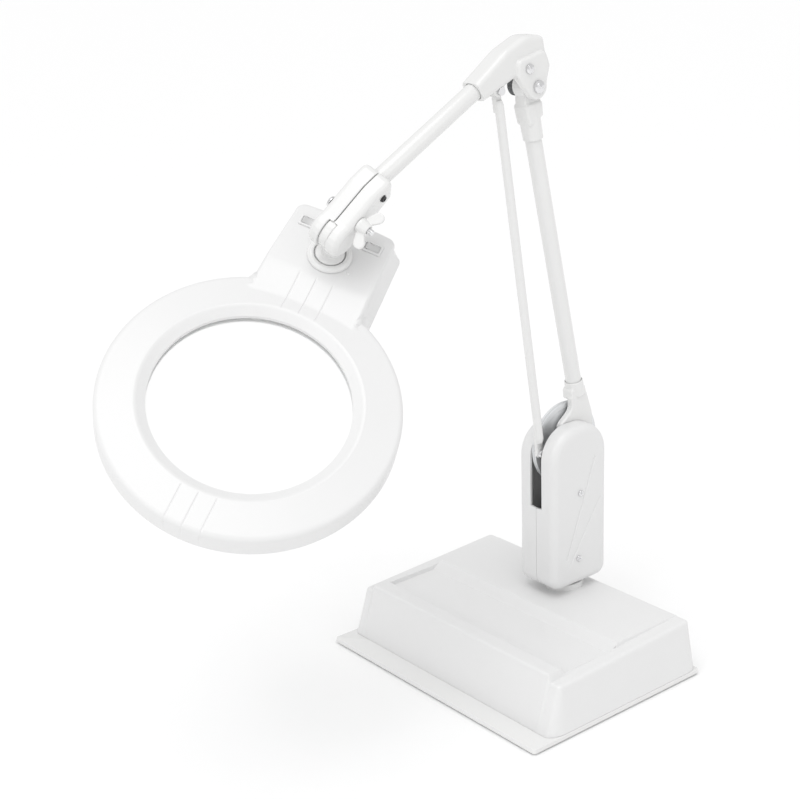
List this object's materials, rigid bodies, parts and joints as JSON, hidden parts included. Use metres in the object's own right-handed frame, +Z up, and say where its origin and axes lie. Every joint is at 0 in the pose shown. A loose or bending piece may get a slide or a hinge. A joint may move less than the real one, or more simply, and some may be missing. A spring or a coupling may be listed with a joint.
{
  "type": "magnifying lamp",
  "caption": "Desk magnifying lamp: heavy flat base with a pen tray, swivelling spring turret, parallel-link arm, clamp joint and a round lit lens head.",
  "frame": {"origin": "centre of the base pad's underside, on the surface the lamp stands on", "axes": "+Z up, +X along the base's long side, and the arm reaches towards -Y at rest"},
  "size_m": [0.3048, 0.5583, 0.6316],
  "materials": {
    "white_enamel": "gloss white enamel",
    "white_plastic": "gloss white",
    "black_rubber": "matte black",
    "grey_iron": "dark grey paint",
    "bright_steel": "bright",
    "zinc_plate": "zinc plated",
    "chrome_screw": "polished",
    "grey_nylon": "satin",
    "grey_plastic": "satin",
    "black_plastic": "semi-gloss",
    "lens_glass": "clear polished",
    "reflector_white": "gloss white",
    "lamp_phosphor": "opal white",
    "white_bakelite": "satin white"
  },
  "bodies": {
    "base": {"base_pad": "black_rubber", "base_plate": "white_enamel", "base_weight": "grey_iron", "base_cover": "white_plastic", "post_collar": "white_enamel", "thrust_washer": "grey_nylon", "cord_gland": "black_plastic", "gland_nut": "black_plastic"},
    "turret": {"turret_spindle": "bright_steel", "frame_foot": "grey_iron", "frame_plate_left": "bright_steel", "frame_plate_right": "bright_steel", "shoulder_pin": "bright_steel", "spring_anchor": "bright_steel", "balance_spring_left": "bright_steel", "balance_spring_right": "bright_steel", "housing_left": "white_plastic", "housing_right": "white_plastic", "housing_screw_upper": "chrome_screw", "housing_screw_lower": "chrome_screw"},
    "lower_arm": {"lower_fitting": "white_enamel", "lower_tube": "white_enamel", "upper_yoke": "white_enamel", "friction_washer_inner": "grey_plastic", "friction_washer_outer": "grey_plastic", "elbow_nut": "bright_steel", "elbow_bolt": "chrome_screw"},
    "crank": {"crank_disc": "zinc_plate", "rod_bolt_lower": "chrome_screw"},
    "upper_arm": {"elbow_bracket": "white_enamel", "upper_tube": "white_enamel", "fin_screw": "chrome_screw", "rod_bolt_upper": "chrome_screw"},
    "link_rod": {"link_rod": "white_enamel"},
    "wrist_clamp": {"clamp_half_left": "white_enamel", "clamp_half_right": "white_enamel", "clamp_set_screw": "black_plastic", "clamp_bolt": "chrome_screw"},
    "wing_nut": {"wing_nut": "white_enamel"},
    "tilt_stem": {"tilt_stem": "white_enamel"},
    "head": {"head_shell": "white_plastic", "magnifier_lens": "lens_glass", "lens_ring": "white_plastic", "reflector": "reflector_white", "ring_lamp": "lamp_phosphor", "lamp_base": "white_bakelite", "lamp_holder": "white_bakelite", "lamp_clip_1": "bright_steel", "lamp_clip_2": "bright_steel", "lamp_clip_3": "bright_steel", "stem_collar": "white_enamel", "stem_nut": "bright_steel", "ballast": "black_plastic", "starter": "grey_plastic", "neck_cover": "white_plastic", "switch_body_left": "white_plastic", "switch_body_right": "white_plastic"},
    "rocker_left": {"rocker_left": "white_plastic"},
    "rocker_right": {"rocker_right": "white_plastic"}
  },
  "joints": [
    {"name": "turret_swivel", "type": "hinge", "parent": "base", "child": "turret", "pos_m": [0, 0.0735, 0], "axis": [0, 0, 1], "range_deg": [-170, 170]},
    {"name": "shoulder_tilt", "type": "hinge", "parent": "turret", "child": "lower_arm", "pos_m": [0, 0.08, 0.217], "axis": [1, 0, 0], "range_deg": [-25, 30], "deforming": ["balance_spring_right"]},
    {"name": "crank_turn", "type": "hinge", "parent": "lower_arm", "child": "crank", "pos_m": [0, 0.08, 0.217], "axis": [1, 0, 0], "range_deg": [-70, 70], "deforming": ["balance_spring_left"]},
    {"name": "elbow_tilt", "type": "hinge", "parent": "lower_arm", "child": "upper_arm", "pos_m": [0, 0.02822, 0.58498], "axis": [1, 0, 0], "range_deg": [-25, 40]},
    {"name": "rod_pivot", "type": "hinge", "parent": "upper_arm", "child": "link_rod", "pos_m": [0, -0.01178, 0.58498], "axis": [1, 0, 0], "range_deg": [-70, 70]},
    {"name": "wrist_roll", "type": "hinge", "parent": "upper_arm", "child": "wrist_clamp", "pos_m": [0, -0.14893, 0.52537], "axis": [0, 0.8741, 0.4857], "range_deg": [-150, 110]},
    {"name": "wing_nut_turn", "type": "hinge", "parent": "wrist_clamp", "child": "wing_nut", "pos_m": [-0.00356, -0.18505, 0.49978], "axis": [0.8049, 0.2882, -0.5187], "range_deg": [-360, 360]},
    {"name": "head_tilt", "type": "hinge", "parent": "wrist_clamp", "child": "tilt_stem", "pos_m": [-0.01116, -0.19403, 0.483], "axis": [0.8049, 0.2882, -0.5187], "range_deg": [-40, 45]},
    {"name": "head_swivel", "type": "hinge", "parent": "tilt_stem", "child": "head", "pos_m": [-0.03498, -0.18295, 0.45219], "axis": [0.5883, -0.2735, 0.7609], "range_deg": [-110, 80]},
    {"name": "rocker_left_press", "type": "hinge", "parent": "head", "child": "rocker_left", "pos_m": [-0.06305, -0.18241, 0.48091], "axis": [-0.3289, 0.7788, 0.5342], "range_deg": [-14, 0]},
    {"name": "rocker_right_press", "type": "hinge", "parent": "head", "child": "rocker_right", "pos_m": [-0.01725, -0.14741, 0.45808], "axis": [-0.3289, 0.7788, 0.5342], "range_deg": [-14, 0]}
  ],
  "couplings": [
    {"joint": "crank_turn", "follows": "elbow_tilt", "ratio": 1},
    {"joint": "rod_pivot", "follows": "elbow_tilt", "ratio": -1}
  ]
}
